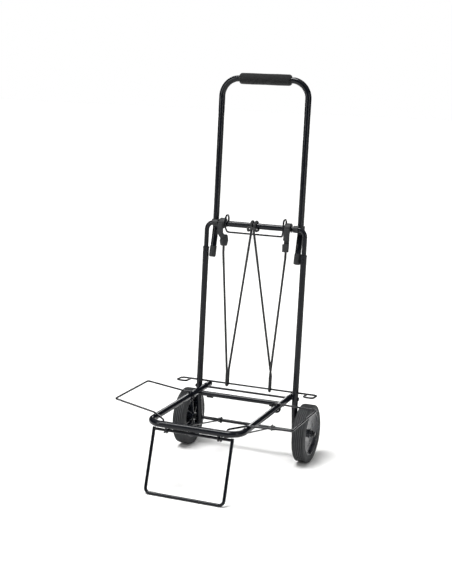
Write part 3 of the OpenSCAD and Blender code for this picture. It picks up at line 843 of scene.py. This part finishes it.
class TROLLEY_OT_welds(bpy.types.Operator):
    """Builds the weld beads where rods meet tubes"""

    bl_idname = "trolley.welds"
    bl_label = "Weld beads"

    def execute(self, context):
        sizes = context.scene.trolley_sizes
        colours = context.scene.trolley_colours
        coated = paint(colours)
        ripple = random.Random(7)
        low, high = (Vector(c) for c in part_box("base_rear_bar"))
        bar_r = 6.5 * MM
        sleeve_r = 6.6 * MM
        centre_z = high.z - bar_r
        centre_y = (low.y + high.y) / 2
        arm_x = Vector(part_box("base_tube")[1]).x - BAR_R
        mesh = bmesh.new()
        for side in (-1, 1):
            at = Vector((side * (arm_x - BAR_R + 0.6 * MM), centre_y, centre_z))
            bead(mesh, at, ACROSS, bar_r + 0.5 * MM, sizes.weld / 2, ripple)
        finished("rear_bar_welds", mesh, coated, "base", crease=60)
        mesh = bmesh.new()
        low, high = (Vector(c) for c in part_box("crossbar_sleeve"))
        for x in (low.x, high.x):
            bead(mesh, Vector((x, *CROSSBAR[1:])), ACROSS, sleeve_r, sizes.weld / 2, ripple)
        finished("sleeve_welds", mesh, coated, "frame", crease=60)
        return {"FINISHED"}


def bead(mesh, centre, axis, radius, half_width, ripple):
    """A ring of weld, a little uneven, about an axis."""
    points = 10
    shape = [
        (half_width / MM * math.cos(math.tau * k / points),
         radius / MM + half_width / MM * math.sin(math.tau * k / points))
        for k in range(points)
    ]
    before = set(mesh.verts)
    lathe(mesh, shape, centre, axis, 40)
    # A set has no fixed order, so the unevenness falls on other points in each run.
    for vert in set(mesh.verts) - before:
        out = (vert.co - centre).normalized()
        vert.co += out * ripple.uniform(-0.15, 0.15) * MM


# ---------- stage ----------


class TROLLEY_OT_stage(bpy.types.Operator):
    """Lays the floor and sets the lights and the camera"""

    bl_idname = "trolley.stage"
    bl_label = "Stage"

    def execute(self, context):
        colours = context.scene.trolley_colours
        scene = context.scene
        mesh = bmesh.new()
        bmesh.ops.create_grid(mesh, x_segments=4, y_segments=4, size=20)
        data = bpy.data.meshes.new("studio_floor")
        mesh.to_mesh(data)
        mesh.free()
        data.materials.append(studio_floor(colours.floor))
        floor = bpy.data.objects.new("studio_floor", data)
        scene.collection.objects.link(floor)

        self.world(scene)
        scene.view_settings.view_transform = "Standard"
        aim = Vector((0, 0, 0.45))
        self.soft_light(scene, "key", (-1.6, -2.2, 1.6), aim, (0.5, 1.6), 24)
        self.soft_light(scene, "side", (2.2, -1.2, 1.2), aim, (0.25, 1.6), 12)
        self.soft_light(scene, "back", (-0.9, 2.6, 1.4), aim, (0.4, 1.6), 14)
        lamp = bpy.data.lights.new("overhead", "SUN")
        lamp.energy = 3.5
        lamp.angle = math.radians(28)
        light = bpy.data.objects.new("overhead", lamp)
        light.rotation_euler = (math.radians(14), math.radians(-12), 0)
        scene.collection.objects.link(light)
        self.camera(scene)
        return {"FINISHED"}

    def world(self, scene):
        """A white backdrop for the camera, and for the paint to reflect a dark studio that is
        bright overhead."""
        world = bpy.data.worlds.new("studio")
        world.use_nodes = True
        world.node_tree.nodes.clear()
        where = add(world, "ShaderNodeTexCoord").outputs["Generated"]
        place = add(world, "ShaderNodeSeparateXYZ", {"Vector": where})
        overhead = add(
            world, "ShaderNodeMapRange",
            {"Value": place.outputs["Z"], "From Min": 0.4, "From Max": 0.95, "To Min": 0.03,
             "To Max": 0.6},
            interpolation_type="SMOOTHSTEP",
        ).outputs["Result"]
        seen = add(world, "ShaderNodeLightPath").outputs["Is Camera Ray"]
        strength = add(
            world, "ShaderNodeMath", {0: overhead, 1: seen}, operation="MAXIMUM"
        ).outputs[0]
        sky = add(world, "ShaderNodeBackground", {"Color": (1, 1, 1, 1), "Strength": strength})
        add(world, "ShaderNodeOutputWorld", {"Surface": sky.outputs["Background"]})
        scene.world = world

    def soft_light(self, scene, name, at, aim, size, power):
        """A rectangular softbox that points at aim."""
        lamp = bpy.data.lights.new(name, "AREA")
        lamp.shape = "RECTANGLE"
        lamp.size, lamp.size_y = size
        lamp.energy = power
        light = bpy.data.objects.new(name, lamp)
        light.location = at
        light.rotation_euler = (aim - Vector(at)).to_track_quat("-Z", "Y").to_euler()
        scene.collection.objects.link(light)

    def camera(self, scene):
        """A long lens at about the handle's height, in front of the trolley and to the right."""
        azimuth, rise, roll = (math.radians(a) for a in (21.76, 11.1, 1.81))
        distance = 3.071
        target = Vector((-0.0697, AXLE.y, 0.4229))
        back = Vector((
            math.sin(azimuth) * math.cos(rise), -math.cos(azimuth) * math.cos(rise),
            math.sin(rise),
        ))
        right = Vector((math.cos(azimuth), math.sin(azimuth), 0))
        turn = Matrix((right, back.cross(right), back)).transposed()
        turn = Matrix.Rotation(roll, 3, back) @ turn
        lens = bpy.data.cameras.new("camera")
        lens.sensor_width = 36
        lens.lens = 72.64
        lens.dof.use_dof = False
        camera = bpy.data.objects.new("camera", lens)
        camera.location = target + back * distance
        camera.rotation_euler = turn.to_euler()
        scene.collection.objects.link(camera)
        scene.camera = camera


PIECES = (
    TROLLEY_OT_metalwork, TROLLEY_OT_plastic_fittings, TROLLEY_OT_foam_grip, TROLLEY_OT_tyres,
    TROLLEY_OT_hubs, TROLLEY_OT_axle_caps, TROLLEY_OT_cord_hooks, TROLLEY_OT_elastic_cord,
    TROLLEY_OT_wires, TROLLEY_OT_welds, TROLLEY_OT_stage,
)


class TROLLEY_PT_panel(bpy.types.Panel):
    """Lists the trolley's settings and the pieces it can build"""

    bl_idname = "TROLLEY_PT_panel"
    bl_label = "Folding shopping trolley"
    bl_space_type = "VIEW_3D"
    bl_region_type = "UI"
    bl_category = "Trolley"

    def draw(self, context):
        for group in (context.scene.trolley_sizes, context.scene.trolley_colours):
            box = self.layout.box()
            for name in group.__annotations__:
                box.prop(group, name)
        for operator in PIECES:
            self.layout.operator(operator.bl_idname)


CLASSES = (TrolleyColours, TrolleySizes, *PIECES, TROLLEY_PT_panel)


def register():
    for cls in CLASSES:
        bpy.utils.register_class(cls)
    bpy.types.Scene.trolley_colours = PointerProperty(type=TrolleyColours)
    bpy.types.Scene.trolley_sizes = PointerProperty(type=TrolleySizes)


def unregister():
    del bpy.types.Scene.trolley_sizes
    del bpy.types.Scene.trolley_colours
    for cls in reversed(CLASSES):
        bpy.utils.unregister_class(cls)


def main():
    register()
    for operator in PIECES:
        group, name = operator.bl_idname.split(".")
        getattr(getattr(bpy.ops, group), name)()


if __name__ == "__main__":
    main()
